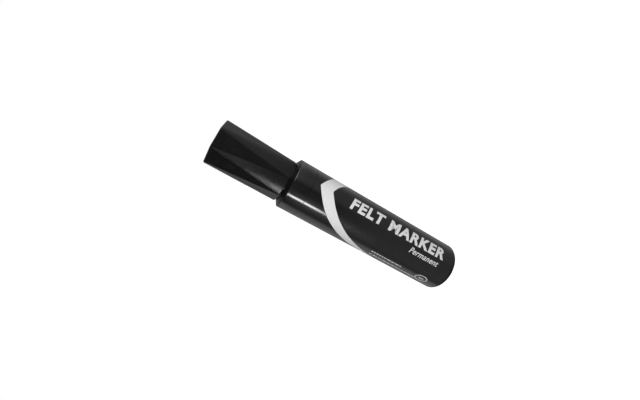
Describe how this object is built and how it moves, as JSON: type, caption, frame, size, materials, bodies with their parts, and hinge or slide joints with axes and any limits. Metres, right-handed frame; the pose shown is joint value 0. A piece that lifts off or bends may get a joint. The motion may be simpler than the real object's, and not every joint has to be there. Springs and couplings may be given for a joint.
{
  "type": "felt tip marker",
  "caption": "Large felt tip marker with a round barrel, a faceted pull-off cap, a chisel nib and an ink reservoir inside.",
  "frame": {"origin": "centre of the base, where the marker stands", "axes": "+Z along the barrel towards the cap; the seven-sided cap and the nib's wide side are placed about Z as seen from -Y"},
  "size_m": [0.0228, 0.0228, 0.12],
  "materials": {
    "barrel_plastic": "gloss black",
    "label_film": "black film with white print",
    "holder_plastic": "gloss black",
    "nib_felt": "ink-soaked felt",
    "reservoir_fibre": "ink-soaked fibre",
    "wrap_film": "thin clear film",
    "cap_plastic": "satin black",
    "seal_plastic": "natural translucent plastic"
  },
  "bodies": {
    "marker": {"barrel": "barrel_plastic", "label_sleeve": "label_film", "nib_holder": "holder_plastic", "nib": "nib_felt", "ink_reservoir": "reservoir_fibre", "reservoir_wrap": "wrap_film"},
    "cap": {"cap_shell": "cap_plastic", "cap_seal": "seal_plastic"}
  },
  "joints": [
    {"name": "cap_slide", "type": "slide", "parent": "marker", "child": "cap", "axis": [0, 0, 1], "range_m": [0, 0.05]}
  ]
}
